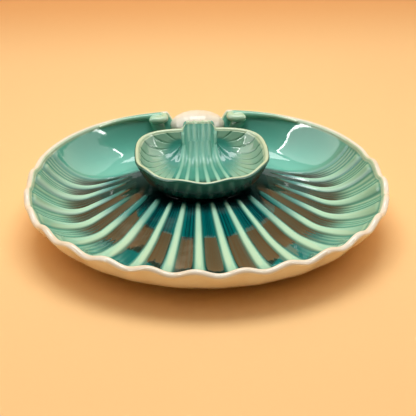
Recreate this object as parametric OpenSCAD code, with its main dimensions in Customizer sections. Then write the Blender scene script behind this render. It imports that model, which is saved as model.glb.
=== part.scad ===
// Chip and dip platter: a scallop-shell dish in glazed earthenware with a loose
// shell-shaped dip bowl standing in it. Millimetres, +Z up, origin on the table
// under the middle of the dish, -Y towards the fluted front rim.

/* [Platter] */
// Width over the rolled rim
platter_w = 356; // [300:1:420]
// Rim's reach in front of the widest line
platter_front = 153; // [130:1:165]
// Rim's reach behind the widest line
platter_back = 167; // [150:1:180]
// Top of the basin floor above the table
platter_floor = 9.2; // [8:0.1:12]
// Height of the rim's crest at the widest line
platter_rim = 51; // [42:0.5:60]
// Rise of the rim towards the hinge, per mm of depth
platter_tilt = 0.042; // [0:0.002:0.1]
// Radius of the rolled rim
platter_roll = 3.4; // [2.5:0.1:5]
// Height of the ribs in the basin
platter_rib = 2.2; // [0.5:0.1:3]
// Height of the scallops of the rim
platter_scallop = 2.2; // [0:0.1:3]

/* [Dip bowl] */
// Width over the rim
bowl_w = 143; // [120:1:160]
// Rim's reach in front of the bowl's middle
bowl_front = 55.5; // [45:0.5:60]
// Rim's reach behind the bowl's middle
bowl_back = 56; // [45:0.5:60]
// Height of the rim's crest above the table, at the bowl's middle
bowl_rim = 45.5; // [40:0.5:55]
// Rise of the bowl's rim towards its hinge, per mm of depth
bowl_tilt = 0.09; // [0:0.005:0.12]
// Top of the bowl's floor above the table
bowl_floor = 17; // [16:0.5:22]
// Radius of the bowl's rim
bowl_roll = 2.5; // [1.5:0.1:3.5]
// Height of the bowl's ribs
bowl_rib = 1.1; // [0.3:0.1:1.6]
// Height of the scallops of the bowl's rim
bowl_scallop = 1.2; // [0:0.1:2]
// Height of the fluted hinge tab over the bowl's rim
tab_h = 7.5; // [4:0.5:14]

/* [Feet] */
// Outside radius of the platter's foot ring
platter_foot_r = 90; // [70:1:92]
// Height of the platter's foot ring
platter_foot_h = 3.2; // [2:0.1:4]
// Half width of the dip bowl's oval foot
bowl_foot_half_w = 44; // [38:0.5:45]
// Half depth of the dip bowl's oval foot
bowl_foot_half_d = 30; // [26:0.5:31]
// Height of the dip bowl's foot ring
bowl_foot_h = 3; // [2:0.1:4]
// Width of both foot rings at the ground
foot_w = 6; // [4:0.5:8]

/* [Hinge] */
// Half the gap in the rim between the two scrolls
notch_half = 24; // [18:1:28]
// Drop of the rim in that gap
notch_drop = 13; // [8:1:18]
// Half width of the hinge knuckle
knuckle_half_w = 31; // [24:1:34]
// Radius of a scroll's bead where it is thickest
bead_r = 4.2; // [3:0.1:4.5]

/* [Hidden] */
$fn = 96;

teal = [0.20, 0.55, 0.50];
mint = [0.62, 0.82, 0.70];
cream = [0.96, 0.91, 0.80];

// The two shells share one form. Each value below is given for the platter, then for the bowl.
platter = 0;
bowl = 1;
platter_wide_y = -11.5;
bowl_y = 65.5;
// The bowl's foot stands a little forward of the bowl's middle, a hair above the basin floor
bowl_foot_y = 59.5;
seat_gap = 0.1;
bowl_foot_z = platter_floor + seat_gap;
bowl_base = bowl_foot_z + bowl_foot_h;
function half_w(s) = [platter_w / 2 - platter_roll, bowl_w / 2 - bowl_roll][s];
function reach(s, front) = front ? [platter_front, bowl_front][s] : [platter_back, bowl_back][s];
function wide_y(s) = [platter_wide_y, bowl_y][s];
function floor_z(s) = [platter_floor, bowl_floor][s];
function base_z(s) = [platter_foot_h, bowl_base][s];
function rim_z(s) = [platter_rim, bowl_rim][s];
function tilt(s) = [platter_tilt, bowl_tilt][s];
function roll_r(s) = [platter_roll, bowl_roll][s];
// Squareness of the outline, 2 for an ellipse
function square(s, front) = front ? 2 : [2.3, 3.6][s];
// Level share of the floor and of the underside, in front and behind
function level_floor(s) = [[0.12, 0.73], [0.3, 0.3]][s];
function level_under(s) = [[0.6, 0.8], [0.62, 0.5]][s];
// What the sides of the basin have more than its front: level share, share of the slow rise
function level_side(s) = [0.22, 0][s];
function slow_side(s) = [0.58, 0][s];
// How far fan lines bow towards the front at the sides
function bow(s) = [11, 0][s];
// Ribs: spacing in degrees of the fan, height
function rib_pitch(s) = [11.25, 16][s];
function rib_h(s) = [platter_rib, bowl_rib][s];
// Scallops of the rim: spacing in degrees of the outline, height
function scallop_pitch(s) = [13.4, 40][s];
function scallop(s) = [platter_scallop, bowl_scallop][s];
// Loop round the hinge line that the fan starts from: half length of its straight sides, radius
// of its round ends, place, and the fan angle at which a straight side meets an end
function hinge_half_w(s) = [17, 19.4][s];
function hinge_end_r(s) = [4, 2][s];
function hinge_y(s) = [platter_wide_y + 145, bowl_y + 48][s];
bowl_corner = 48;
function hinge_corner(s) = [57, bowl_corner][s];
// Step of the rim at the hinge, a gap on the platter and a tab on the bowl:
// half width, softness of its ends, height, push outwards
function step_half(s) = [notch_half, 13][s];
function step_soft(s) = [11, 6.5][s];
function step_h(s) = [-notch_drop, tab_h][s];
function step_push(s) = [0, 4][s];
// Rim angle of each fan line. The platter's spread wider at the sides. The bowl's flutes run from
// its tab to the middle of its front, and the outermost ones reach the rim at these angles.
side_fan = [[-180, -180], [-84, -100], [-34, -34], [34, 34], [84, 100], [180, 180]];
flute_front = 40;
flute_tab = 163.7;
tab_fan = [[-180, -180], [bowl_corner - 180, -flute_tab], [-bowl_corner, -flute_front],
           [bowl_corner, flute_front], [180 - bowl_corner, flute_tab], [180, 180]];
function rim_angle(s, t) = lookup(t, [side_fan, tab_fan][s]);

// Angle where the scallops have died away, and the angle they take to do it
wave_last = 116;
wave_fade = 14;
// Fan angle of the platter's last rib, and the angle it takes to fade
rib_last = 122;
rib_fade = 10;
// Share of the fan line over which ribs fade into the rim
rib_tip = 0.05;
// Shares of the fan line where the platter's ribs start, clear of the bowl's seat, and grow whole
rib_start = 0.38;
rib_grow = 0.12;
// Basin: share of the slow rise in front, powers of the slow rise and of the steep lip
slow_front = 0.42;
slow_power = 2.2;
lip_power = 8;
// Powers of the underside's rise and of the fading of the scallops down the outside wall
under_power = 2.6;
ripple_power = 12;

function smooth(x) = let (c = max(0, min(1, x))) c * c * (3 - 2 * c);

// Outline of the rim, half an ellipse in front and half a squarer one behind.
// Angle 0 is the front, 90 the right, 180 the hinge.
function squared(x, n) = sign(x) * pow(abs(x), n);
function swell(s, a) =
    let (n = square(s, cos(a) > 0)) pow(pow(abs(sin(a)), n) + pow(abs(cos(a)), n), -1 / n);
function outline(s, a) =
    [0, wide_y(s)] + swell(s, a) * [half_w(s) * sin(a), -reach(s, cos(a) > 0) * cos(a)];
function outward(s, a) =
    let (n = square(s, cos(a) > 0) - 1,
         v = [squared(sin(a), n) / half_w(s), -squared(cos(a), n) / reach(s, cos(a) > 0)])
    v / norm(v);

// Bearing is the outline's angle at a point; gauge is 0 in the middle of the shell, 1 on the rim.
function flatten(s, p) = [p.x / half_w(s), (wide_y(s) - p.y) / reach(s, p.y < wide_y(s))];
function bearing(s, p) = let (v = flatten(s, p)) atan2(v.x, v.y);
function gauge(s, p) = norm(flatten(s, p)) / swell(s, bearing(s, p));

// Waves of the rim along the front and sides, and its step at the hinge
function dip(s, a) =
    scallop(s) * cos(360 * a / scallop_pitch(s)) * smooth((wave_last - abs(a)) / wave_fade);
function step(s, a) =
    cos(a) > 0 ? 0 : smooth((step_half(s) + step_soft(s) - abs(outline(s, a).x)) / step_soft(s));

// Middle of the rolled rim at angle a, before its waves
function rim_plan(s, a) = outline(s, a) + outward(s, a) * step_push(s) * step(s, a);
function rim_height(s, a) =
    rim_z(s) - roll_r(s) + tilt(s) * (outline(s, a).y - wide_y(s)) + step_h(s) * step(s, a);
function rim_point(s, a, turn) =
    let (plan = rim_plan(s, a) + outward(s, a) * roll_r(s) * cos(turn))
    [plan.x, plan.y, rim_height(s, a) - dip(s, a) + roll_r(s) * sin(turn)];

// Start of fan line t: along the front of the hinge line, round its end and back along its rear
function hinge_plan(s, t) =
    let (corner = hinge_corner(s),
         along = lookup(abs(t), [[0, 0], [corner, 1], [180 - corner, 1], [180, 0]]),
         end = max(-90, min(90, 90 * (abs(t) - 90) / (90 - corner))))
    [sign(t) * (hinge_half_w(s) * along + hinge_end_r(s) * cos(end)),
     hinge_y(s) + hinge_end_r(s) * sin(end)];
function fan_plan(s, t, u, turn) =
    let (edge = rim_point(s, rim_angle(s, t), turn), start = hinge_plan(s, t))
    start + u * ([edge.x, edge.y] - start) - [0, bow(s) * sin(abs(t)) * 4 * u * (1 - u)];

// Basin: a level middle, a slow rise and a steep lip, which the sides of the platter don't have
function level(ends, a) = ends[0] + (ends[1] - ends[0]) * (1 - cos(a)) / 2;
function top_level(s, a) = level(level_floor(s), a) + level_side(s) * pow(sin(a), 2);
function slow_share(s, a) = slow_front + slow_side(s) * pow(sin(a), 2);
function basin_rise(s, a, c) =
    let (slow = slow_share(s, a)) slow * pow(c, slow_power) + (1 - slow) * pow(c, lip_power);
function under_rise(c) = pow(c, under_power);
function share(x, flat) = max(0, min(1, (x - flat) / (1 - flat)));

// Ribs stand on the fan lines halfway between whole spacings. The platter's start in front of the
// bowl's seat. The bowl's are the flutes that run from its tab down to its front.
function rib(s, t) = pow((1 - cos(360 * t / rib_pitch(s))) / 2, 3);
function platter_rib_room(t, u) =
    smooth((rib_last - abs(t)) / rib_fade) * smooth((u - rib_start) / rib_grow);
function bowl_rib_room(t) = abs(abs(t) - 90) > 90 - hinge_corner(bowl) ? 1 : 0;
function rib_room(s, t, u) =
    smooth((1 - u) / rib_tip) * (s == bowl ? bowl_rib_room(t) : platter_rib_room(t, u));

function top_point(s, t, u) =
    let (p = fan_plan(s, t, u, 180),
         a = bearing(s, p),
         c = share(gauge(s, p) / gauge(s, fan_plan(s, t, 1, 180)), top_level(s, a)),
         edge = rim_height(s, a) - dip(s, rim_angle(s, t)),
         bare = floor_z(s) + (edge - floor_z(s)) * basin_rise(s, a, c))
    [p.x, p.y, bare + rib_h(s) * rib(s, t) * rib_room(s, t, u)];

function under_point(s, t, u) =
    let (p = fan_plan(s, t, u, 0),
         a = bearing(s, p),
         c = share(gauge(s, p) / gauge(s, fan_plan(s, t, 1, 0)), level(level_under(s), a)),
         edge = rim_height(s, a) - dip(s, rim_angle(s, t)) * pow(u, ripple_power))
    [p.x, p.y, base_z(s) + (edge - base_z(s)) * under_rise(c)];

// One fan line's outline: basin, rolled rim, underside. Rows crowd at both ends.
function crowd(x) = (1 - cos(180 * x)) / 2;
function profile(s, t, tops, rolls, unders) = [
    for (i = [0 : tops]) top_point(s, t, crowd(i / tops)),
    for (i = [1 : rolls]) rim_point(s, rim_angle(s, t), 180 - 180 * i / rolls),
    for (i = [1 : unders]) under_point(s, t, 1 - crowd(i / unders))
];

// A closed shell: profiles all the way round, zipped shut along the hinge line
module shell(s, lines, tops, rolls, unders) {
    rows = tops + 1 + rolls + unders;
    last = rows - 1;
    points = [for (j = [0 : lines - 1]) each profile(s, -180 + 360 * j / lines, tops, rolls, unders)];
    skin = [
        for (j = [0 : lines - 1], i = [0 : last - 1])
        let (k = (j + 1) % lines)
        each [[j * rows + i, k * rows + i, k * rows + i + 1],
              [j * rows + i, k * rows + i + 1, j * rows + i + 1]]
    ];
    zip = [
        for (j = [lines / 4 : lines * 3 / 4 - 1])
        let (a = j, b = j + 1, d = (3 * lines / 2 - j) % lines, c = (3 * lines / 2 - j - 1) % lines)
        each concat(
            b == c ? [] : [[c, b, a]],
            a == d ? [] : [[d, c, a]])
    ];
    top_zip = [for (f = zip) [for (v = f) v * rows]];
    under_zip = [for (f = zip) [f[2] * rows + last, f[1] * rows + last, f[0] * rows + last]];
    polyhedron(points, concat(skin, top_zip, under_zip), convexity = 8);
}

module platter_body() {
    color(teal) shell(platter, lines = 192, tops = 12, rolls = 3, unders = 8);
}

module dip_bowl_body() {
    color(teal) shell(bowl, lines = 180, tops = 9, rolls = 3, unders = 6);
}

// Both foot rings have a flat ground face. The round one leans out a little on both sides.
module platter_foot_ring() {
    lean = 0.8;
    inside = platter_foot_r - foot_w;
    ground = [[inside, 0], [platter_foot_r, 0]];
    top = [[platter_foot_r + lean, platter_foot_h], [inside - lean, platter_foot_h]];
    color(cream) translate([0, platter_wide_y, 0]) rotate_extrude() polygon(concat(ground, top));
}

module oval(half_w, half_d) {
    corners = 72;
    polygon([for (j = [0 : corners - 1])
        [half_w * cos(360 * j / corners), half_d * sin(360 * j / corners)]]);
}

module dip_bowl_foot_ring() {
    color(cream) translate([0, bowl_foot_y, bowl_foot_z]) linear_extrude(bowl_foot_h) difference() {
        oval(bowl_foot_half_w, bowl_foot_half_d);
        oval(bowl_foot_half_w - foot_w, bowl_foot_half_d - foot_w);
    }
}

// Rounded beak of the shell, fluted over the top
module hinge_knuckle() {
    half_d = 18;
    half_h = 16.5;
    // The beak's middle lies inside the rim's end and below the rim's crest
    inset = 6;
    drop = 9;
    semi = [knuckle_half_w, half_d, half_h];
    middle = [0, platter_wide_y + platter_back - inset, platter_rim - drop];
    flute_pitch = 8;
    flute_h = 0.6;
    flute_fade = 8;
    turns = 40;
    rings = 14;
    function beak(turn, lift) =
        let (d = [cos(lift) * sin(turn), -cos(lift) * cos(turn), sin(lift)],
             x = semi.x * d.x,
             edge = smooth((knuckle_half_w - abs(x)) / flute_fade),
             grow = flute_h * cos(360 * x / flute_pitch) * edge)
        middle + [x, semi.y * d.y, semi.z * d.z] + grow * d;
    points = [
        beak(0, 90),
        for (i = [1 : rings - 1], j = [0 : turns - 1]) beak(360 * j / turns, 90 - 180 * i / rings),
        beak(0, -90)
    ];
    foot = len(points) - 1;
    faces = [
        for (j = [0 : turns - 1])
        let (k = (j + 1) % turns)
        each concat(
            [[0, 1 + k, 1 + j]],
            [for (i = [0 : rings - 3])
                each [[1 + i * turns + j, 1 + i * turns + k, 1 + (i + 1) * turns + k],
                      [1 + i * turns + j, 1 + (i + 1) * turns + k, 1 + (i + 1) * turns + j]]],
            [[foot, foot - turns + j, foot - turns + k]])
    ];
    color(cream) polyhedron(points, faces, convexity = 4);
}

// Scroll: a bead that grows along the ear's rim and turns back on itself in a hook
module scroll_hook() {
    sides = 10;
    rim_rings = 12;
    hook_rings = 10;
    end_rings = 4;
    // Rim angles of the bead's thin start and of the hook
    from = 142;
    to = 166;
    thin_r = 1.8;
    // The bead lies inside the rim's middle, a little proud of its crest. The hook sinks on its way.
    inset = 2.5;
    proud = 0.6;
    sink = 1.5;
    hook_r = 4.6;
    straight = 9;
    hook_stop = 270;
    // The bead's end is rounded almost to a point
    end_turn = 80;
    function grown(way) = thin_r + (bead_r - thin_r) * way;
    function crest(a) = rim_height(platter, a) + platter_roll + proud;
    across = outward(platter, to);
    hub = rim_plan(platter, to) - across * (inset + hook_r);
    hook_start = atan2(across.y, across.x);
    // Each ring of the bead is given as its middle, the level direction across it and its radius
    rim_part = [
        for (i = [0 : rim_rings - 1])
        let (way = i / rim_rings,
             a = from + (to - from) * way,
             plan = rim_plan(platter, a) - outward(platter, a) * inset)
        [[plan.x, plan.y, crest(a) - grown(way)], outward(platter, a), grown(way)]
    ];
    hook_part = [
        for (i = [0 : hook_rings])
        let (way = i / hook_rings,
             turn = hook_start + (hook_stop - hook_start) * way,
             plan = hub + hook_r * [cos(turn), sin(turn)])
        [[plan.x, plan.y, crest(to) - bead_r - sink * way], [cos(turn), sin(turn)], bead_r]
    ];
    end_part = [
        for (i = [0 : end_rings])
        let (turn = end_turn * i / end_rings)
        [[hub.x + straight + bead_r * sin(turn), hub.y - hook_r, crest(to) - bead_r - sink],
         [0, -1], bead_r * cos(turn)]
    ];
    rings = concat(rim_part, hook_part, end_part);
    last = len(rings) - 1;
    points = [
        for (ring = rings, j = [0 : sides - 1])
        let (turn = 360 * j / sides, out = ring[1] * ring[2] * cos(turn))
        ring[0] + [out.x, out.y, ring[2] * sin(turn)]
    ];
    faces = [
        [for (j = [sides - 1 : -1 : 0]) j],
        for (i = [0 : last - 1], j = [0 : sides - 1])
        let (k = (j + 1) % sides)
        each [[i * sides + j, i * sides + k, (i + 1) * sides + k],
              [i * sides + j, (i + 1) * sides + k, (i + 1) * sides + j]],
        [for (j = [0 : sides - 1]) last * sides + j]
    ];
    polyhedron(points, faces, convexity = 6);
}

// Corbel: the clay that carries the hook on the ear's wall
module scroll_corbel() {
    half_w = 8;
    half_d = 7;
    half_h = 11;
    beside = 21;
    behind = 156;
    drop = 6;
    facets = 32;
    translate([notch_half + beside, platter_wide_y + behind, platter_rim - drop])
        scale([half_w, half_d, half_h]) sphere(1, $fn = facets);
}

module right_scroll() {
    color(mint) union() {
        scroll_hook();
        scroll_corbel();
    }
}

module left_scroll() {
    color(mint) mirror([1, 0, 0]) union() {
        scroll_hook();
        scroll_corbel();
    }
}

platter_body();
platter_foot_ring();
hinge_knuckle();
left_scroll();
right_scroll();
dip_bowl_body();
dip_bowl_foot_ring();
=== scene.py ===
# %% [markdown]
# # A scallop-shell chip and dip platter
# The real object is a slip-cast earthenware dish in the form of a scallop shell, with a small shell
# bowl for the dip standing loose at its back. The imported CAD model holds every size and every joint.
# This script dresses it: each CAD piece is replaced by a finer surface with its glaze on.

import bpy
import numpy as np
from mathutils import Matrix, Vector


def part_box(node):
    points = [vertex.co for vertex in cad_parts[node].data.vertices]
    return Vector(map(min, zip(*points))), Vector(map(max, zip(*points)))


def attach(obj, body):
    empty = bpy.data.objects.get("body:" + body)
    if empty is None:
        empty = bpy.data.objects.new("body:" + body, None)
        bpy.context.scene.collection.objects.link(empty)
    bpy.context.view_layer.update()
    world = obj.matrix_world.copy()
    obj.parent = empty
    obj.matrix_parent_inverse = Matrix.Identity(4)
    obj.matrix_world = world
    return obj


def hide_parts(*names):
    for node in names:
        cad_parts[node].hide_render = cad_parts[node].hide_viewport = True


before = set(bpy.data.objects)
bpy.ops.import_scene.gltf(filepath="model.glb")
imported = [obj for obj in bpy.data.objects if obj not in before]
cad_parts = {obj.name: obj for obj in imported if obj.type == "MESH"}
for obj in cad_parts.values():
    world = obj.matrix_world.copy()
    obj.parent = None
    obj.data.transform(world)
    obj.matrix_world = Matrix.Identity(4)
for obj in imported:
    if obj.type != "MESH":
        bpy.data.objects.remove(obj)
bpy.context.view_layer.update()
MM = 0.001

# %% [markdown]
# ## The outline of a shell
# Both castings share one form, so it is written once, as functions of a set of sizes. Seen from above
# the rim is half an ellipse in front and half a squarer oval behind, where the ears are. It could be
# drawn as a curve by hand, but a formula also tells how far out any point of the basin lies, and the
# basin's depth needs that. Angles are in degrees: 0 is the front, 90 the right, 180 the hinge.

# %% Outline of the rim


def smooth(x):
    """0 up to 0, 1 from 1 on, and 3x^2 - 2x^3 between."""
    c = np.clip(x, 0, 1)
    return c * c * (3 - 2 * c)


def sine(degrees):
    return np.sin(np.radians(degrees))


def cosine(degrees):
    return np.cos(np.radians(degrees))


def signed_power(x, power):
    """The power of a number's size, with the number's sign kept."""
    return np.sign(x) * np.abs(x) ** power


class Form:
    """The sizes of one shell, read by name. Lengths in metres, angles in degrees."""

    def __init__(self, **sizes):
        self.__dict__.update(sizes)

    def reach(self, front):
        return np.where(front, self.front, self.back)

    def power(self, front):
        return np.where(front, 2, self.square)


def swell(s, a):
    """How far the squared outline lies outside a circle: (|sin|^n + |cos|^n)^(-1/n)."""
    n = s.power(cosine(a) > 0)
    return (np.abs(sine(a)) ** n + np.abs(cosine(a)) ** n) ** (-1 / n)


def outline(s, a):
    """Plan of the rim's middle at angle a: swell times half width and reach."""
    reach = s.reach(cosine(a) > 0)
    return swell(s, a) * s.half_w * sine(a), s.wide_y - swell(s, a) * reach * cosine(a)


def outward(s, a):
    """Unit vector square to the outline, the gradient of the oval's equation."""
    front = cosine(a) > 0
    n = s.power(front) - 1
    x = signed_power(sine(a), n) / s.half_w
    y = -signed_power(cosine(a), n) / s.reach(front)
    size = np.hypot(x, y)
    return x / size, y / size


def bearing(s, x, y):
    """The outline's angle at a point of the plan."""
    return np.degrees(np.arctan2(x / s.half_w, (s.wide_y - y) / s.reach(y < s.wide_y)))


def gauge(s, x, y):
    """0 in the middle of the shell and 1 on its rim, along every bearing."""
    round_gauge = np.hypot(x / s.half_w, (y - s.wide_y) / s.reach(y < s.wide_y))
    return round_gauge / swell(s, bearing(s, x, y))


print("A smooth step stands at", float(smooth(0.5)), "half way")

# %% [markdown]
# ## The rim and the fan
# A scallop's ribs fan out from its hinge. So the surface is ruled by lines from a narrow loop round the
# hinge line to the rolled rim, and a point is a fan angle and a share of the way along its line. The rim
# rises towards the hinge, waves up and down along the front, and steps at the hinge: down into a gap on
# the platter, up into a tab on the bowl.

# %% Rim and fan lines
WAVE_LAST = 116
WAVE_FADE = 14


def dip(s, a):
    """Waves of the rim: a cosine of the angle that dies away towards the ears."""
    return s.scallop * cosine(360 * a / s.scallop_pitch) * smooth((WAVE_LAST - np.abs(a)) / WAVE_FADE)


def step(s, a):
    """1 across the middle of the hinge, 0 elsewhere, with soft ends."""
    x = outline(s, a)[0]
    return np.where(cosine(a) > 0, 0, smooth((s.step_half + s.step_soft - np.abs(x)) / s.step_soft))


def rim_plan(s, a):
    """Plan of the middle of the roll: the outline, pushed outwards at the hinge."""
    x, y = outline(s, a)
    out_x, out_y = outward(s, a)
    push = s.step_push * step(s, a)
    return x + out_x * push, y + out_y * push


def rim_height(s, a):
    """Height of the middle of the roll before its waves: the rim's height, its slope and its step."""
    slope = s.tilt * (outline(s, a)[1] - s.wide_y)
    return s.rim_z - s.roll_r + slope + s.step_h * step(s, a)


def rim_point(s, a, turn):
    """A point of the rolled rim, where a turn of 180 is its inner side and 0 its outer side."""
    x, y = rim_plan(s, a)
    out_x, out_y = outward(s, a)
    out = s.roll_r * cosine(turn)
    return x + out_x * out, y + out_y * out, rim_height(s, a) - dip(s, a) + s.roll_r * sine(turn)


def rim_angle(s, t):
    """Angle on the outline where fan line t ends."""
    return np.interp(t, *s.fan_ends)


def hinge_loop(s, t):
    """Plan of the start of fan line t: a straight run along the hinge line, round its end and back."""
    corner = s.hinge_corner
    along = np.interp(np.abs(t), [0, corner, 180 - corner, 180], [0, 1, 1, 0])
    end = np.clip(90 * (np.abs(t) - 90) / (90 - corner), -90, 90)
    x = np.sign(t) * (s.hinge_half_w * along + s.hinge_end_r * cosine(end))
    return x, s.hinge_y + s.hinge_end_r * sine(end)


def fan_plan(s, t, u, turn):
    """Plan of the point a share u of the way along fan line t, from the hinge loop to the rim.

    The line bows towards the front by a parabola, most at the sides.
    """
    rim_x, rim_y, _ = rim_point(s, rim_angle(s, t), turn)
    start_x, start_y = hinge_loop(s, t)
    bow = s.bow * sine(np.abs(t)) * 4 * u * (1 - u)
    return start_x + u * (rim_x - start_x), start_y + u * (rim_y - start_y) - bow


print("The rim's waves die away from", WAVE_LAST - WAVE_FADE, "to", WAVE_LAST, "degrees")

# %% [markdown]
# ## Basin and underside
# The basin has a level floor, a slow rise and a steep lip. The underside rises by one power, so the wall
# is thick at the floor's turn and thin at the rim, as a casting's is. The rim's waves die away down the
# outside, which is smooth.

# %% Heights of the surface
SLOW_FRONT = 0.42
SLOW_POWER = 2.2
LIP_POWER = 8
UNDER_POWER = 2.6
RIPPLE_POWER = 12


def level(ends, a):
    """Share of the shell that is level, from the front's value to the hinge's as the angle goes round."""
    return ends[0] + (ends[1] - ends[0]) * (1 - cosine(a)) / 2


def climb(s, x, y, edge, flat):
    """0 on the level part of a shell and 1 at its edge."""
    return np.clip((gauge(s, x, y) / gauge(s, *edge) - flat) / (1 - flat), 0, 1)


def top_point(s, t, u):
    """Basin before its ribs: floor plus a slow rise and a steep lip, with less lip where the form says so."""
    x, y = fan_plan(s, t, u, 180)
    a = bearing(s, x, y)
    flat = level(s.level_floor, a) + s.level_side * sine(a) ** 2
    c = climb(s, x, y, fan_plan(s, t, 1, 180), flat)
    slow = SLOW_FRONT + s.slow_side * sine(a) ** 2 + s.slow_back * smooth(-cosine(a))
    rise = slow * c**SLOW_POWER + (1 - slow) * c**LIP_POWER
    edge = rim_height(s, a) - dip(s, rim_angle(s, t))
    return x, y, s.floor_z + (edge - s.floor_z) * rise


def under_point(s, t, u):
    """Underside: base plus a rise by one power."""
    x, y = fan_plan(s, t, u, 0)
    a = bearing(s, x, y)
    c = climb(s, x, y, fan_plan(s, t, 1, 0), level(s.level_under, a))
    edge = rim_height(s, a) - dip(s, rim_angle(s, t)) * u**RIPPLE_POWER
    return x, y, s.base_z + (edge - s.base_z) * c**UNDER_POWER


print("Half way out the slow rise has reached", 0.5**SLOW_POWER, "and the lip", 0.5**LIP_POWER)

# %% [markdown]
# ## Ribs
# Broad flat-topped ribs catch the pale glaze, and fine combed lines run between them. On the mould they
# were carved along the fan. Here they are raised square to the surface, so they show in the outline and
# in the reflections too. They are not a bump in the finish.

# %% Ribs
RIB_FADE = 10
RIB_TIP = 0.02
COMB_FOOT = 0.27
COMB_PITCH = 0.173
COMB_START = 0.55
COMB_GROW = 0.2
COMB_FRONT_END = 30
COMB_SIDE_SPAN = 40
TAB_EDGE = 4
TAB_SINK = 0.7
TAB_BACK = 0.5


def in_lobe(s, t):
    """True on the fan lines that start from a round end of the hinge loop."""
    return np.abs(np.abs(t) - 90) < 90 - s.hinge_corner


def off_crest(s, t):
    """Distance from the nearest rib's middle, in rib spacings: 0 on a crest, a half between two."""
    middle = np.where(in_lobe(s, t), 90, 0)
    pitch = np.where(in_lobe(s, t), s.lobe_pitch, s.rib_pitch)
    return np.abs((np.abs(t) - middle) / pitch % 1 - 0.5)


def over_tab(s, t):
    """1 on the fan lines that end on a fluted tab, 0 elsewhere, with a soft edge."""
    return s.tab_flutes * smooth((np.abs(t) - 180 + s.hinge_corner) / TAB_EDGE)


def rib_room(s, t, u):
    """1 where ribs stand, 0 on the ears, at the hinge and on the rim. Flutes run on over a tab."""
    tip = np.maximum(smooth((1 - u) / RIB_TIP), over_tab(s, t))
    lobe = smooth((u - s.lobe_start) / s.lobe_grow)
    flute = smooth((u - s.rib_start) / s.rib_grow)
    return smooth((s.rib_last - np.abs(t)) / RIB_FADE) * tip * np.where(in_lobe(s, t), lobe, flute)


def broad_rib(s, t):
    """1 on a crest's flat top, 0 in a valley, with a smooth flank between."""
    top = np.where(in_lobe(s, t), s.lobe_shape[0], s.rib_shape[0])
    foot = np.where(in_lobe(s, t), s.lobe_shape[1], s.rib_shape[1])
    return smooth((foot - off_crest(s, t)) / (foot - top))


def comb_line(s, t):
    """Fine lines in a valley: a raised cosine counted from the valley's middle."""
    beside = 0.5 - off_crest(s, t)
    return np.where(off_crest(s, t) > COMB_FOOT, (1 + cosine(360 * beside / COMB_PITCH)) / 2, 0)


def rib_height(s, t, u):
    """Height of ribs and combed lines over the bare basin, sinking by a rib's height at a tab's top."""
    side = s.comb_front + (1 - s.comb_front) * smooth((np.abs(t) - COMB_FRONT_END) / COMB_SIDE_SPAN)
    broad = np.where(in_lobe(s, t), s.lobe_h, s.rib_h) * broad_rib(s, t)
    sunk = s.rib_h * over_tab(s, t) * smooth((u - TAB_SINK) / (1 - TAB_SINK))
    comb = s.comb_h * side * comb_line(s, t) * smooth((u - COMB_START) / COMB_GROW)
    return (broad + comb) * rib_room(s, t, u) - sunk


def tab_groove(s, t):
    """Depth of the grooves between the flutes where they run over a tab's rim."""
    return s.rib_h * (broad_rib(s, t) - 1) * over_tab(s, t)


def raised(grid, height):
    """A grid moved along its normals. Normals come from neighbouring points."""
    across = np.roll(grid, -1, 0) - np.roll(grid, 1, 0)
    along = np.gradient(grid, axis=1)
    normal = np.cross(along, across)
    normal /= np.linalg.norm(normal, axis=-1, keepdims=True)
    return grid + normal * height[..., None]


print("The combed lines stand", COMB_PITCH, "of a rib spacing apart")

# %% [markdown]
# ## From a grid of points to a mesh
# Each fan line gives one profile: along the basin, over the roll and back along the underside. The profiles
# side by side make a grid, which closes on itself round the shell. What is left open is the narrow loop at
# the hinge, above and below, and that is zipped shut by joining each line to its mirror image. The mesh
# keeps what the glaze needs: where the ribs stand, whether a point is inside, and a fan map for streaks.

# %% Meshes


def add_piece(name, points, faces, body, node):
    """A smooth mesh piece that rides on a body and stands for a CAD node."""
    mesh = bpy.data.meshes.new(name)
    mesh.from_pydata(points, [], faces)
    mesh.polygons.foreach_set("use_smooth", np.ones(len(mesh.polygons), bool))
    mesh.update()
    piece = bpy.data.objects.new(name, mesh)
    bpy.context.collection.objects.link(piece)
    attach(piece, body)
    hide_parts(node)
    print(name, len(mesh.vertices), "points", len(mesh.polygons), "faces")
    return piece


def add_values(piece, **values):
    """Keeps named values on the points of a piece, for its finish to read."""
    for name, value in values.items():
        layer = piece.data.attributes.new(name, "FLOAT", "POINT")
        layer.data.foreach_set("value", np.ascontiguousarray(value, np.float32).ravel())


def add_map(piece, along_u, along_v):
    """A map named fan: u from the corners' columns, v from their rows, both as corner arrays."""
    layer = piece.data.uv_layers.new(name="fan")
    layer.uv.foreach_set("vector", np.stack([along_u, along_v], 1).astype(np.float32).ravel())


def grid_faces(columns, rows, closed):
    """Quads between neighbouring columns of points, counted column by column."""
    j, i = np.meshgrid(np.arange(columns if closed else columns - 1), np.arange(rows - 1), indexing="ij")
    k = (j + 1) % columns
    return np.stack([j * rows + i, k * rows + i, k * rows + i + 1, j * rows + i + 1], -1).reshape(-1, 4)


def wrap_faces(columns, rows, closed):
    """The same for columns that are closed rings: also a quad from each column's last point to its first."""
    j = np.arange(columns if closed else columns - 1)
    k = (j + 1) % columns
    last = rows - 1
    seam = np.stack([j * rows + last, k * rows + last, k * rows, j * rows], -1)
    return np.concatenate([grid_faces(columns, rows, closed), seam])


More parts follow.
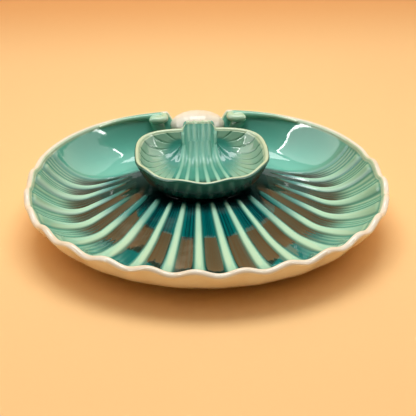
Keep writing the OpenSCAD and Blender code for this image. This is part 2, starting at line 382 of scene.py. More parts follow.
def zip_faces(lines, rows, row, facing_up):
    """Faces across the hinge loop in one row: a quad from each line to its mirror image, and two tips."""
    quarter = lines // 4
    a = np.arange(quarter + 1, 3 * quarter - 1)
    b = a + 1
    c = (6 * quarter - b) % lines
    d = (6 * quarter - a) % lines
    quads = np.stack([d, a, b, c], 1)
    tips = [[tip, tip + 1, tip - 1] for tip in (quarter, 3 * quarter)]
    turn = 1 if facing_up else -1
    return [[v * rows + row for v in face[::turn]] for face in quads.tolist() + tips]


def crowd(count):
    """Shares from 0 to 1 that crowd at both ends: (1 - cos) / 2."""
    return (1 - cosine(np.linspace(0, 180, count + 1))) / 2


# A quad's corners the other way round, so that the shell's faces point outwards.
TURNED = [0, 3, 2, 1]
INSIDE_TURN = 40
INSIDE_SPAN = 100
ROLL_MAP = 0.1


def add_shell(name, s, lines, tops, rolls, unders, body, node):
    """A closed shell from its form, with its fan map and the values that its glaze reads."""
    t = np.linspace(-180, 180, lines + 1)[:-1, None]
    along = crowd(tops)[None, :]
    back = 1 - crowd(unders)[None, 1:]
    turn = np.linspace(180, 0, rolls + 1)[None, 1:]
    parts = [top_point(s, t, along), rim_point(s, rim_angle(s, t), turn), under_point(s, t, back)]
    bare_grid = np.concatenate([np.stack(np.broadcast_arrays(*part), -1) for part in parts], 1)
    groove = tab_groove(s, t)
    fade = smooth((back - TAB_BACK) / (1 - TAB_BACK))
    points = raised(bare_grid, np.concatenate([rib_height(s, t, along), groove * turn**0, groove * fade], 1))
    rows = points.shape[1]
    skin = grid_faces(lines, rows, True)[:, TURNED]
    zips = zip_faces(lines, rows, 0, True) + zip_faces(lines, rows, rows - 1, False)
    piece = add_piece(name, points.reshape(-1, 3).tolist(), skin.tolist() + zips, body, node)
    full = np.ones_like(t)
    bare = np.zeros((lines, rolls + unders))
    room = rib_room(s, t, along)
    rib = np.concatenate([broad_rib(s, t) * room, bare], 1)
    comb = np.concatenate([comb_line(s, t) * room, bare], 1)
    inner = full * smooth((turn - INSIDE_TURN) / INSIDE_SPAN)
    inside = np.concatenate([full * along**0, inner, 0 * full * back], 1)
    share = np.concatenate([full * along, full * turn**0, full * back], 1)
    wide = np.ones((1, rows))
    add_values(piece, rib=rib, comb=comb, inside=inside, share=share)
    add_values(piece, fan=np.abs(t) / 180 * wide, lobe=in_lobe(s, t) * wide)
    down = np.concatenate([along[0], 1 + ROLL_MAP * (1 - turn[0] / 180), 2 + ROLL_MAP - back[0]])
    column = skin // rows + np.where((skin // rows == 0) & (skin[:, :1] // rows == lines - 1), lines, 0)
    corner_u = np.concatenate([column.ravel() / lines] + [np.array(face) // rows / lines for face in zips])
    corner_v = np.concatenate([down[skin.ravel() % rows]] + [down[np.array(face) % rows] for face in zips])
    add_map(piece, corner_u, corner_v)
    return piece


print("Three columns of three points make", len(grid_faces(3, 3, False)), "quads")

# %% [markdown]
# ## The platter
# The big dish. Its width and depth come from the CAD box, less the roll of its rim. The other sizes are
# those of the casting: a thin floor on a foot ring, and a rim that climbs to the hinge.

# %% Platter shell
platter_low, platter_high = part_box("platter_body")
platter_wide_y = -11.5 * MM
platter_roll = 3.4 * MM
platter = Form(
    half_w=(platter_high.x - platter_low.x) / 2 - platter_roll,
    front=platter_wide_y - platter_low.y - platter_roll,
    back=platter_high.y - platter_wide_y - platter_roll,
    wide_y=platter_wide_y, square=2.3, tilt=0.042, roll_r=platter_roll,
    floor_z=9.2 * MM, rim_z=51 * MM, base_z=platter_low.z,
    level_floor=(0.12, 0.73), level_under=(0.6, 0.8), level_side=0.22,
    slow_side=0.58, slow_back=0, bow=11 * MM,
    rib_pitch=11.25, rib_h=2.2 * MM, rib_shape=(0.03, 0.27), rib_last=110, rib_start=0.34, rib_grow=0.06,
    lobe_pitch=11.25, lobe_h=2.2 * MM, lobe_shape=(0.03, 0.27), lobe_start=0.36, lobe_grow=0.25,
    comb_h=0.5 * MM, comb_front=0.06, tab_flutes=0,
    scallop=2.2 * MM, scallop_pitch=13.4,
    hinge_half_w=17 * MM, hinge_end_r=4 * MM, hinge_y=133.5 * MM, hinge_corner=57,
    step_half=24 * MM, step_soft=11 * MM, step_h=-13 * MM, step_push=0,
    fan_ends=([-180, -84, -34, 34, 84, 180], [-180, -100, -34, 34, 100, 180]),
)
PLATTER_GRID = {"lines": 1024, "tops": 72, "rolls": 14, "unders": 36}
platter_shell = add_shell("platter_shell", platter, body="platter", node="platter_body", **PLATTER_GRID)

# %% [markdown]
# ## The dip bowl
# The same form at two fifths of the size, with a fluted tab in place of the gap. The fan lines of the hinge
# line's straight sides carry the flutes, from the tab's back over its top and down to the middle of the
# front. The lines of its round ends make the two fluted lobes.

# %% Dip bowl shell
bowl_low, bowl_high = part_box("dip_bowl_body")
bowl_y = 65.5 * MM
bowl_roll = 2.5 * MM
tab_push = 4 * MM
bowl = Form(
    half_w=(bowl_high.x - bowl_low.x) / 2 - bowl_roll,
    front=bowl_y - bowl_low.y - bowl_roll,
    back=bowl_high.y - bowl_y - bowl_roll - tab_push,
    wide_y=bowl_y, square=3.6, tilt=0.09, roll_r=bowl_roll,
    floor_z=17 * MM, rim_z=45.5 * MM, base_z=bowl_low.z,
    level_floor=(0.3, 0.3), level_under=(0.62, 0.5), level_side=0, slow_side=0, slow_back=0.3, bow=0,
    rib_pitch=16, rib_h=1.4 * MM, rib_shape=(0, 0.5), rib_last=200, rib_start=-1, rib_grow=0.1,
    lobe_pitch=8.4, lobe_h=0.5 * MM, lobe_shape=(0.3, 0.5), lobe_start=0.25, lobe_grow=0.35,
    comb_h=0, comb_front=0, tab_flutes=1,
    scallop=1.2 * MM, scallop_pitch=40,
    hinge_half_w=19.4 * MM, hinge_end_r=0.6 * MM, hinge_y=bowl_y + 48 * MM, hinge_corner=48,
    step_half=13 * MM, step_soft=6.5 * MM, step_h=7.5 * MM, step_push=tab_push,
    fan_ends=([-180, -132, -48, 48, 132, 180], [-180, -163.7, -40, 40, 163.7, 180]),
)
BOWL_GRID = {"lines": 900, "tops": 60, "rolls": 12, "unders": 32}
dip_bowl_shell = add_shell("dip_bowl_shell", bowl, body="dip_bowl", node="dip_bowl_body", **BOWL_GRID)

# %% [markdown]
# ## The beak
# The rounded hinge knuckle between the two scrolls, left cream. It is an ellipsoid with faint flutes over
# the top, drawn as rings from pole to pole.

# %% Beak
FLUTE_PITCH = 8 * MM
FLUTE_H = 0.12 * MM
FLUTE_FADE = 8 * MM
BEAK_TURNS = 144
BEAK_RINGS = 60


def dome(middle, semi, turns, rings, flute_h):
    """An ellipsoid whose surface is pushed out by a cosine of x that fades towards both sides."""
    turn = np.linspace(0, 360, turns + 1)[:-1]
    lift = np.linspace(90, -90, rings + 1)
    turn, lift = np.meshgrid(turn, lift, indexing="ij")
    ray = np.stack([cosine(lift) * sine(turn), -cosine(lift) * cosine(turn), sine(lift)], -1)
    x = semi[0] * ray[..., 0]
    flute = flute_h * cosine(360 * x / FLUTE_PITCH) * smooth((semi[0] - np.abs(x)) / FLUTE_FADE)
    return np.array(middle) + np.array(semi) * ray + flute[..., None] * ray


def dome_mesh(grid):
    """Points and faces of a dome, with one point at each pole and triangles round it."""
    turns, rings = grid.shape[0], grid.shape[1] - 1
    body = grid[:, 1:-1].reshape(-1, 3)
    rows = rings - 1
    j = np.arange(turns)
    k = (j + 1) % turns
    top = len(body)
    cap = np.stack([np.full(turns, top), j * rows, k * rows], 1)
    base = np.stack([np.full(turns, top + 1), k * rows + rows - 1, j * rows + rows - 1], 1)
    faces = grid_faces(turns, rows, True)[:, ::-1].tolist() + cap.tolist() + base.tolist()
    return np.concatenate([body, grid[:1, 0], grid[:1, -1]]), faces


beak_low, beak_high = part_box("hinge_knuckle")
beak_semi = (beak_high - beak_low) / 2 - Vector((0, FLUTE_H, FLUTE_H))
beak_grid = dome((beak_low + beak_high) / 2, beak_semi, BEAK_TURNS, BEAK_RINGS, FLUTE_H)
beak_points, beak_faces = dome_mesh(beak_grid)
platter_beak = add_piece(
    "platter_beak", beak_points.tolist(), beak_faces, "platter", "hinge_knuckle"
)

# %% [markdown]
# ## The scrolls
# Each ear's rim swells into a bead that turns back on itself in a hook beside the beak. A potter rolls it
# from a tapering coil. Here a round profile is carried along the same path: along the rim, round the hook
# and a little way back. A core fills the hook, and a rounded corbel under it
# joins it to the ear.

# %% Scrolls
SCROLL_FROM = 142
SCROLL_TO = 166
BEAD_THIN = 1.8 * MM
BEAD_R = 4.2 * MM
BEAD_INSET = 2.5 * MM
BEAD_PROUD = 0.6 * MM
BEAD_SUNK = 1.8 * MM
BEAD_RISE = 0.4
HOOK_R = 4.6 * MM
HOOK_SINK = 1.5 * MM
HOOK_STOP = 270
HOOK_STRAIGHT = 9 * MM
END_TURN = 84
CORBEL_AT = (45 * MM, 144.5 * MM, 45 * MM)
CORBEL_SEMI = (8 * MM, 7 * MM, 11 * MM)
CORBEL_LEAN = 0.4
CORBEL_GRID = (48, 32)
CORE_SEMI = (8.5 * MM, 3.6 * MM, 4.2 * MM)
CORE_GRID = (48, 24)
RIM_RINGS = 48
HOOK_RINGS = 32
END_RINGS = 12
BEAD_SIDES = 32


def crest(a):
    """Top of the bead at rim angle a."""
    return rim_height(platter, a) + platter_roll + BEAD_PROUD


def hook_rings(along_rim, round_hook, round_end):
    """Rings of the bead as arrays: middles, level directions across, radii and the way round the hook.

    The way runs from -1 to 0 along the rim and from 0 to 1 round the hook.
    """
    way = np.linspace(0, 1, along_rim, endpoint=False)
    a = SCROLL_FROM + (SCROLL_TO - SCROLL_FROM) * way
    rim_r = BEAD_THIN + (BEAD_R - BEAD_THIN) * way
    rim_out = np.stack(outward(platter, a), 1)
    rim_mid = np.stack(rim_plan(platter, a), 1) - rim_out * BEAD_INSET
    rim_z = crest(a) - rim_r - BEAD_SUNK * (1 - smooth(way / BEAD_RISE))
    across = np.array(outward(platter, SCROLL_TO))
    hub = np.array(rim_plan(platter, SCROLL_TO)) - across * (BEAD_INSET + HOOK_R)
    bend = np.linspace(0, 1, round_hook)
    start = np.degrees(np.arctan2(across[1], across[0]))
    turn = start + (HOOK_STOP - start) * bend
    hook_out = np.stack([cosine(turn), sine(turn)], 1)
    hook_mid = hub + HOOK_R * hook_out
    hook_z = crest(SCROLL_TO) - BEAD_R - HOOK_SINK * bend
    end = np.linspace(0, END_TURN, round_end)
    end_mid = np.stack([hub[0] + HOOK_STRAIGHT + BEAD_R * sine(end), np.full(round_end, hub[1] - HOOK_R)], 1)
    end_out = np.stack([np.zeros(round_end), -np.ones(round_end)], 1)
    plan = np.concatenate([rim_mid, hook_mid, end_mid])
    z = np.concatenate([rim_z, hook_z, np.full(round_end, hook_z[-1])])
    middle = np.concatenate([plan, z[:, None]], 1)
    radius = np.concatenate([rim_r, np.full(round_hook, BEAD_R), BEAD_R * cosine(end)])
    hooked = np.concatenate([way - 1, bend, np.ones(round_end)])
    return middle, np.concatenate([rim_out, hook_out, end_out]), radius, hooked


def core_middle():
    """Middle of the core that fills the hook, half way down the hook's slope."""
    inset = np.array(outward(platter, SCROLL_TO)) * (BEAD_INSET + HOOK_R)
    x, y = np.array(rim_plan(platter, SCROLL_TO)) - inset
    return x + HOOK_STRAIGHT / 2, y, crest(SCROLL_TO) - BEAD_R - HOOK_SINK / 2


def bead_mesh(middle, across, radius):
    """The bead's points, ring by ring, and its faces, with a cap at each end."""
    rings = len(radius)
    turn = np.linspace(0, 360, BEAD_SIDES + 1)[None, :-1]
    out = across[:, None, :] * (radius[:, None] * cosine(turn))[..., None]
    up = (radius[:, None] * sine(turn))[..., None]
    points = (middle[:, None, :] + np.concatenate([out, up], -1)).reshape(-1, 3)
    start_cap = list(range(BEAD_SIDES))
    end_cap = list(range(rings * BEAD_SIDES - 1, (rings - 1) * BEAD_SIDES - 1, -1))
    return points, wrap_faces(rings, BEAD_SIDES, False).tolist() + [start_cap, end_cap]


# %% Scroll values for the glaze
GROOVE_TILT = 0.5
GROOVE_EDGE = 0.1
GROOVE_SOFT = 0.8
GROOVE_GROW = 0.15
CURL_GROW = 0.3
EARLY_SPAN = 0.7
EARLY_SHIFT = 0.4


def scroll_values(hooked, corbel_count, core_count):
    """Smooth steps of the way and the turn: the hook's groove, its curl, and the early part of the bead."""
    turn = np.linspace(0, 360, BEAD_SIDES + 1)[None, :-1]
    way = hooked[:, None] + 0 * turn
    inner = smooth((-cosine(turn) - sine(turn) * GROOVE_TILT - GROOVE_EDGE) / GROOVE_SOFT)
    groove = (inner * smooth(way / GROOVE_GROW)).ravel()
    curl = smooth(way / CURL_GROW).ravel()
    early = smooth(-way / EARLY_SPAN - EARLY_SHIFT).ravel()
    corbel = np.zeros(corbel_count)
    return {
        "groove": np.concatenate([groove, corbel, np.zeros(core_count)]),
        "curl": np.concatenate([curl, corbel, np.ones(core_count)]),
        "early": np.concatenate([early, corbel, np.zeros(core_count)]),
    }


def add_scroll(name, side, node):
    """Hook, corbel and core in one piece. The left one is the right one mirrored, with its faces turned."""
    middle, across, radius, hooked = hook_rings(RIM_RINGS, HOOK_RINGS, END_RINGS)
    bead, faces = bead_mesh(middle, across, radius)
    corbel, corbel_faces = dome_mesh(dome(CORBEL_AT, CORBEL_SEMI, *CORBEL_GRID, 0))
    corbel[:, 0] += CORBEL_LEAN * (corbel[:, 2] - CORBEL_AT[2])
    core, core_faces = dome_mesh(dome(core_middle(), CORE_SEMI, *CORE_GRID, 0))
    faces += [[v + len(bead) for v in face] for face in corbel_faces]
    faces += [[v + len(bead) + len(corbel) for v in face] for face in core_faces]
    if side < 0:
        faces = [face[::-1] for face in faces]
    points = np.concatenate([bead, corbel, core]) * (side, 1, 1)
    piece = add_piece(name, points.tolist(), faces, "platter", node)
    add_values(piece, **scroll_values(hooked, len(corbel), len(core)))
    return piece


right_volute = add_scroll("right_volute", 1, "right_scroll")
left_volute = add_scroll("left_volute", -1, "left_scroll")

# %% [markdown]
# ## The foot rings
# A cast dish stands on a ring. The platter's is round, wiped bare of glaze where it meets the table. The
# bowl's is an oval under its level base. Both are one profile, a rectangle with round corners, carried
# round an oval path.

# %% Foot rings
RING_CORNER = 0.4
RING_COLUMNS = 240
RING_ROWS = 32
PLATTER_FOOT_WALL = 7.6 * MM
BOWL_FOOT_WALL = 6 * MM


def ring_points(low, high, wall, corner, columns, rows):
    """A squared round profile carried round an oval: signed powers of cosine and sine."""
    middle = (low + high) / 2
    turn = np.linspace(0, 360, columns + 1)[:-1, None]
    spin = np.linspace(0, 360, rows + 1)[None, :-1]
    out = wall / 2 * (signed_power(cosine(spin), corner) - 1)
    x = middle.x + ((high.x - low.x) / 2 + out) * cosine(turn)
    y = middle.y + ((high.y - low.y) / 2 + out) * sine(turn)
    z = middle.z + (high.z - low.z) / 2 * signed_power(sine(spin), corner)
    return np.stack(np.broadcast_arrays(x, y, z), -1)


def add_ring(name, node, wall, body):
    """A closed ring that fills its CAD node's box."""
    points = ring_points(*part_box(node), wall, RING_CORNER, RING_COLUMNS, RING_ROWS)
    faces = wrap_faces(RING_COLUMNS, RING_ROWS, True).tolist()
    return add_piece(name, points.reshape(-1, 3).tolist(), faces, body, node)


platter_foot = add_ring("platter_foot", "platter_foot_ring", PLATTER_FOOT_WALL, "platter")
bowl_foot = add_ring("bowl_foot", "dip_bowl_foot_ring", BOWL_FOOT_WALL, "dip_bowl")

# %% [markdown]
# ## Writing shader maths as Python
# A glaze is a sum of masks: where the ribs stand, where the lip thins, where a streak runs. Wiring those by
# hand is slow to read, so one small class wraps a socket and turns Python arithmetic into Math nodes. Any
# other node comes from one method that takes its type, its settings and its sockets.

# %% Shader values


class Value:
    """A number in a shader. Arithmetic on it adds Math nodes to its material."""

    def __init__(self, paint, socket):
        self.paint = paint
        self.socket = socket

    def maths(self, operation, first, second):
        return self.paint.node("Math", {"operation": operation}, {0: first, 1: second})

    def __add__(self, other):
        return self.maths("ADD", self, other)

    def __sub__(self, other):
        return self.maths("SUBTRACT", self, other)

    def __rsub__(self, other):
        return self.maths("SUBTRACT", other, self)

    def __mul__(self, other):
        return self.maths("MULTIPLY", self, other)

    def __pow__(self, other):
        return self.maths("POWER", self, other)

    __radd__ = __add__
    __rmul__ = __mul__


class Paint:
    """A node tree to paint in: a material's or the world's."""

    def __init__(self, owner):
        owner.use_nodes = True
        self.tree = owner.node_tree
        self.tree.nodes.clear()

    def feed(self, socket, value):
        if isinstance(value, Value):
            self.tree.links.new(value.socket, socket)
        elif value is not None:
            socket.default_value = value

    def node(self, kind, settings=None, sockets=None, output=0):
        """Adds a node, sets its settings, feeds its sockets and returns one of its outputs, if it has any."""
        made = self.tree.nodes.new("ShaderNode" + kind)
        for name, setting in (settings or {}).items():
            setattr(made, name, setting)
        for name, value in (sockets or {}).items():
            self.feed(made.inputs[name], value)
        return Value(self, made.outputs[output]) if made.outputs else None

    def blend(self, share, first, second):
        """A colour between two, by a share from 0 to 1."""
        return self.node("Mix", {"data_type": "RGBA"}, {0: share, 6: first, 7: second}, 2)

    def ease(self, value, low, high):
        """0 up to low and 1 from high on, with a smooth way between."""
        sockets = {"Value": value, "From Min": low, "From Max": high}
        return self.node("MapRange", {"interpolation_type": "SMOOTHSTEP"}, sockets)

    def noise(self, place, scale, detail=2.0, roughness=0.5):
        sockets = {"Vector": place, "Scale": scale, "Detail": detail, "Roughness": roughness}
        return self.node("TexNoise", {}, sockets)

    def kept(self, name):
        """A value kept on the piece's points."""
        return self.node("Attribute", {"attribute_name": name}, {}, "Fac")

    def place(self):
        return self.node("TexCoord", {}, {}, "Object")

    def least(self, first, second):
        return self.node("Math", {"operation": "MINIMUM"}, {0: first, 1: second})

    def size(self, value):
        """A number without its sign."""
        return self.node("Math", {"operation": "ABSOLUTE"}, {0: value})

    def part(self, vector, axis):
        """One part of a vector: 0 for x, 1 for y, 2 for z."""
        return self.node("SeparateXYZ", {}, {0: vector}, axis)

    def stretched_map(self, across, along):
        """The fan map, scaled so that noise on it makes streaks along the fan lines."""
        fan = self.node("UVMap", {"uv_map": "fan"})
        return self.node("VectorMath", {"operation": "MULTIPLY"}, {0: fan, 1: (across, along, 1)})


def rgb(red, green, blue):
    """A colour as a picture program writes it, 0 to 255, made linear for the shader."""
    share = np.array([red, green, blue]) / 255
    linear = np.where(share <= 0.04045, share / 12.92, ((share + 0.055) / 1.055) ** 2.4)
    return (*linear.tolist(), 1.0)


print("Middle grey in linear light is", rgb(128, 128, 128)[0])

# %% [markdown]
# ## The glazes
# One pot of transparent teal glaze does all the work. It pools deep and dark in the valleys, thins to mint
# on the crests and breaks to the cream body on the rims. Below the rim the casting has a cream glaze only.
# The gloss is a smooth dielectric with a little waviness, so most reflections come from the room. Some, round
# the platter's seat and in the bowl, are painted into the colour.

# %% Gloss and cream
GLAZE_IOR = 1.6
CREAM = rgb(250, 245, 228)
CREAM_WARM = rgb(244, 232, 206)
SPECK = rgb(150, 110, 70)
SPECK_SHARE = 0.35
CLOUD_ZONE = (0.35, 0.7)
SPECK_ZONE = (0.72, 0.78)


def gloss(paint, colour, roughness, height, depth):
    """The glassy surface: a shiny dielectric with a height that bends its reflections."""
    normal = paint.node("Bump", {}, {"Strength": 1.0, "Distance": depth, "Height": height})
    sockets = {"Base Color": colour, "Roughness": roughness, "IOR": GLAZE_IOR, "Normal": normal}
    shader = paint.node("BsdfPrincipled", {}, sockets)
    paint.node("OutputMaterial", {}, {"Surface": shader})


def cream_glaze(paint, place):
    """Cream with soft warm clouds and a few fine specks."""
    clouds = paint.ease(paint.noise(place, 30, 3), *CLOUD_ZONE)
    specks = paint.ease(paint.noise(place, 900, 1), *SPECK_ZONE)
    cream = paint.blend(clouds, CREAM, CREAM_WARM)
    return paint.blend(specks * SPECK_SHARE, cream, SPECK)


def finish(piece, painter):
    """Gives a piece its own material, painted by a function."""
    material = bpy.data.materials.new(painter.__name__)
    painter(Paint(material))
    piece.data.materials.append(material)
    print(piece.name, "is finished with", material.name)


print("Cream in linear light is", CREAM[:3])

# %% [markdown]
# ## The platter's glaze
# Round the bowl's seat the valleys carry a painted reflection of the bowl in dark teal, with painted shade
# right under the bowl. Beyond the seat's oval they carry a painted reflection of the warm room in olive. The
# ribs shed the glaze and turn mint, the side walls and ears keep a thin sea green, and the rim is nearly
# bare. The zones could be painted on a picture by hand. Here each is a mask worked out from the fan, the
# ribs, the height or the seat's oval, so that it follows the form.

# %% Platter colours
MINT = rgb(184, 234, 206)
MINT_WARM = rgb(208, 230, 196)
MINT_DULL = rgb(168, 216, 184)
MINT_BLUE = rgb(96, 176, 176)
SEA = rgb(120, 208, 186)
WALL = rgb(72, 154, 134)
FLANK = rgb(56, 140, 126)
TEAL = rgb(0, 116, 114)
# Painted reflection round the bowl's seat: dark teal where the bowl is mirrored, olive where the warm room is
# mirrored beyond it.
SEAT_TEAL_REFLECTION = rgb(0, 54, 58)
# Nearly black: painted shade under the bowl.
UNDER_BOWL_PAINTED_SHADE = rgb(0, 24, 28)
OLIVE_ROOM_REFLECTION = rgb(42, 40, 24)
SEAT_Y = 14 * MM
SEAT_HALF_W = 71 * MM
SEAT_HALF_D = 62.5 * MM


def seat_gauge(paint, place):
    """1 on an oval round the front of the bowl's seat, less inside it: the root of two squares."""
    x = paint.part(place, 0) * (1 / SEAT_HALF_W)
    y = paint.least(paint.part(place, 1) - SEAT_Y, 0) * (1 / SEAT_HALF_D)
    return (x * x + y * y) ** 0.5


print("The seat's oval is", 2 * SEAT_HALF_W, "m wide")

# %% Platter zones
SIDE_FAN = (0.15, 0.3)
EAR_FAN = (0.56, 0.62)
STREAK_POOL = (0.38, 0.64)
WALL_HEIGHT = (0.013, 0.028)
WALL_RAGGED = 0.006
# From this depth on, the painted shade under the bowl is full.
UNDER_BOWL_SHADE_Y = (0, 0.03)
# Edge of the painted reflection of the bowl, on the seat's oval.
SEAT_REFLECTION_EDGE = (0.99, 1.01)
POOL_FAN = (0.04, 0.2)
POOL_WIDER = 0.22
POOL_SHARE = (0.96, 0.985)
FLANK_RIB = (0.0, 0.3)
CREST_RIB = (0.35, 0.95)
DULL_HEIGHT = (0.02, 0.042)
BLUE_SHARE = (0.5, 0.66)
FADE_OUTER = (0.8, 0.98)
FADE_INNER = (0.42, 0.62)
RIM_SHARE = (0.994, 1.004)
CREAM_INSIDE = (0.92, 1.07)
BESIDE_SEAT = (0.9, 1.0)
BESIDE_Y = (-0.01, 0.015)
POLISH = 0.02
CLOUD_DULL = 0.03
BESIDE_DULL = 0.12
PLATTER_RIPPLE = 0.00006
print("The ears begin at", EAR_FAN[0] * 180, "degrees of the fan")

# %% Platter glaze


def teal_platter_glaze(paint):
    """Painted reflection round the seat: dark teal for the bowl, with painted shade under it, and olive for
    the room beyond. Mint on the ribs, sea green on the walls and ears.
    """
    place = paint.place()
    height = paint.part(place, 2)
    share = paint.kept("share")
    inside = paint.kept("inside")
    rib = paint.kept("rib")
    fan = paint.kept("fan")
    streak = paint.noise(paint.stretched_map(110, 1.6), 1.0, 3, 0.6)
    thread = paint.noise(paint.stretched_map(420, 2.2), 1.0, 2, 0.5)
    cloud = paint.noise(place, 18, 3)
    pool = paint.ease(streak * 0.6 + thread * 0.4, *STREAK_POOL)
    side = paint.ease(fan, *SIDE_FAN)
    wall = paint.ease(height + cloud * WALL_RAGGED, *WALL_HEIGHT) * side
    # Painted reflection of the bowl in the valleys round the seat. The olive beyond it is a painted
    # reflection of the warm room.
    near = paint.blend(pool, SEAT_TEAL_REFLECTION, TEAL)
    # Painted shade under the bowl.
    near = paint.blend(paint.ease(paint.part(place, 1), *UNDER_BOWL_SHADE_Y), near, UNDER_BOWL_PAINTED_SHADE)
    far = paint.blend(pool * 0.25, OLIVE_ROOM_REFLECTION, TEAL)
    seat = seat_gauge(paint, place)
    valley = paint.blend(paint.ease(seat, *SEAT_REFLECTION_EDGE), near, far)
    pool_edge = share + streak * 0.03 + paint.ease(fan, *POOL_FAN) * POOL_WIDER
    valley = paint.blend(paint.ease(pool_edge, *POOL_SHARE) * (1 - side), valley, TEAL)
    valley = paint.blend(wall, valley, WALL)
    valley = paint.blend(paint.kept("comb") * wall * 0.8, valley, MINT_DULL)
    valley = paint.blend(paint.ease(rib, *FLANK_RIB) * 0.7, valley, FLANK)
    tip = paint.blend(paint.ease(height, *DULL_HEIGHT) * side, MINT, MINT_DULL)
    tip = paint.blend((1 - paint.ease(share, *BLUE_SHARE)) * side, tip, MINT_BLUE)
    crest = paint.ease(rib + streak * 0.2 + side * 0.15, *CREST_RIB)
    faded = paint.ease(share, *FADE_OUTER) * 0.25 + (1 - paint.ease(share, *FADE_INNER)) * 0.8
    colour = paint.blend(crest * (1 - faded * side), valley, tip)
    colour = paint.blend(paint.ease(fan, *EAR_FAN), colour, SEA)
    colour = paint.blend(paint.ease(share + thread * 0.004, *RIM_SHARE), colour, MINT_WARM)
    bare = 1 - paint.ease(inside + cloud * 0.15, *CREAM_INSIDE)
    colour = paint.blend(bare, colour, cream_glaze(paint, place))
    beside = (1 - paint.ease(seat, *BESIDE_SEAT)) * paint.ease(paint.part(place, 1), *BESIDE_Y)
    roughness = POLISH + cloud * CLOUD_DULL + beside * BESIDE_DULL
    gloss(paint, colour, roughness, paint.noise(place, 120, 2), PLATTER_RIPPLE)


finish(platter_shell, teal_platter_glaze)

# %% [markdown]
# ## The bowl's glaze
# The bowl comes from the same pot. Its fan is sea green between mint flutes, lighter with a painted highlight
# on the back lines and dark with a painted reflection towards the front. Its two lobes are pale with darker
# lines, and its outside is a deep teal that shows under the rim. The masks are made as the platter's are.

# %% Bowl colours and zones
FAN_SEA = rgb(62, 150, 130)
# Painted dark reflection on the fan's floor towards the front, and a painted highlight on the fan's back
# lines.
FAN_DARK_REFLECTION = rgb(24, 58, 48)
FAN_BACK_HIGHLIGHT = rgb(104, 182, 160)
FLUTE_MINT = rgb(164, 220, 194)
LOBE_SEA = rgb(66, 152, 136)
LOBE_PALE = rgb(146, 190, 164)
LOBE_LINE = rgb(84, 138, 112)
OUTER_DARK = rgb(6, 62, 55)
OUTER_RIM = rgb(48, 108, 90)
OUTER_TAB = rgb(104, 176, 152)
FAN_REFLECTION_SHARE = (0.46, 0.62)
FLUTE_CREST = (0.6, 1.1)
FLUTE_PALES = (0.25, 0.6)
FRONT_SHARE = (0.0, 0.35)
BACK_FAN = (0.5, 0.51)
LINE_RIB = (0.05, 0.6)
LINE_SHARE = (0.35, 0.75)
LOBE_SHARE = (0.25, 0.6)
OUTER_SHARE = (0.95, 1.01)
TAB_FAN = (0.7, 0.74)
TAB_SHARE = (0.5, 1.0)
BASIN_INSIDE = (0.02, 0.4)
LIP_SHARE = (0.98, 1.004)
LIP_INSIDE = (0.0, 0.2)
FAN_DULL = 0.18
BOWL_RIPPLE = 0.00008
print("The tab begins at", TAB_FAN[0] * 180, "degrees of the fan")

# %% Bowl glaze


def teal_bowl_glaze(paint):
    """Sea green with mint flutes in the fan, a painted highlight on its back lines and a painted dark
    reflection towards its front, yellow-green lobes with dark lines, dark teal outside.
    """
    place = paint.place()
    share = paint.kept("share")
    inside = paint.kept("inside")
    rib = paint.kept("rib")
    lobe = paint.kept("lobe")
    fan = paint.kept("fan")
    streak = paint.noise(paint.stretched_map(90, 1.6), 1.0, 3, 0.6)
    cloud = paint.noise(place, 26, 3)
    # Painted dark reflection towards the front of the fan's floor.
    fan_floor = paint.blend(paint.ease(share, *FAN_REFLECTION_SHARE), FAN_SEA, FAN_DARK_REFLECTION)
    flute = paint.ease(rib + streak * 0.25, *FLUTE_CREST) * (0.5 + 0.45 * paint.ease(share, *FLUTE_PALES))
    lower = paint.ease(share, *FRONT_SHARE) * (1 - paint.ease(fan, *BACK_FAN))
    # Painted highlight on the back lines of the fan.
    fan_floor = paint.blend(lower, FAN_BACK_HIGHLIGHT, fan_floor)
    fluted = paint.blend(flute, fan_floor, FLUTE_MINT)
    lined = (1 - paint.ease(rib, *LINE_RIB)) * paint.ease(share, *LINE_SHARE)
    lobed = paint.blend(paint.ease(share, *LOBE_SHARE), LOBE_SEA, LOBE_PALE)
    lobed = paint.blend(lined, lobed, LOBE_LINE)
    basin = paint.blend(lobe, fluted, lobed)
    outside = paint.blend(paint.ease(share + cloud * 0.02, *OUTER_SHARE), OUTER_DARK, OUTER_RIM)
    tab = paint.ease(fan, *TAB_FAN) * paint.ease(share, *TAB_SHARE)
    outside = paint.blend(tab, outside, OUTER_TAB)
    colour = paint.blend(paint.ease(inside, *BASIN_INSIDE), outside, basin)
    lip = paint.ease(share + streak * 0.02, *LIP_SHARE) * paint.ease(inside, *LIP_INSIDE)
    colour = paint.blend(lip, colour, MINT_WARM)
    roughness = POLISH + cloud * CLOUD_DULL + (1 - lobe * inside) * FAN_DULL
    gloss(paint, colour, roughness, paint.noise(place, 130, 2), BOWL_RIPPLE)


finish(dip_bowl_shell, teal_bowl_glaze)

# %% [markdown]
# ## Beak, scrolls and feet
# The beak is plain cream. The scrolls are mint, darker on the inner underside of the hook's groove.
# The platter's foot is wiped to the bare clay, which is matt, and the bowl's foot is dipped in dark glaze.

# %% Beak and scroll glazes
SCROLL_BEAD = rgb(136, 200, 168)
SCROLL_CURL = rgb(192, 226, 192)
SCROLL_GROOVE = rgb(40, 120, 104)
SCROLL_CLOUDS = (0.4, 0.75)
SCROLL_RIPPLE = 0.0001
BEAK_RIPPLE = 0.00015


def cream_beak_glaze(paint):
    """The cream glaze, a little duller than the teal and finely uneven."""
    place = paint.place()
    roughness = 0.12 + paint.noise(place, 40) * 0.1
    gloss(paint, cream_glaze(paint, place), roughness, paint.noise(place, 260, 3), BEAK_RIPPLE)


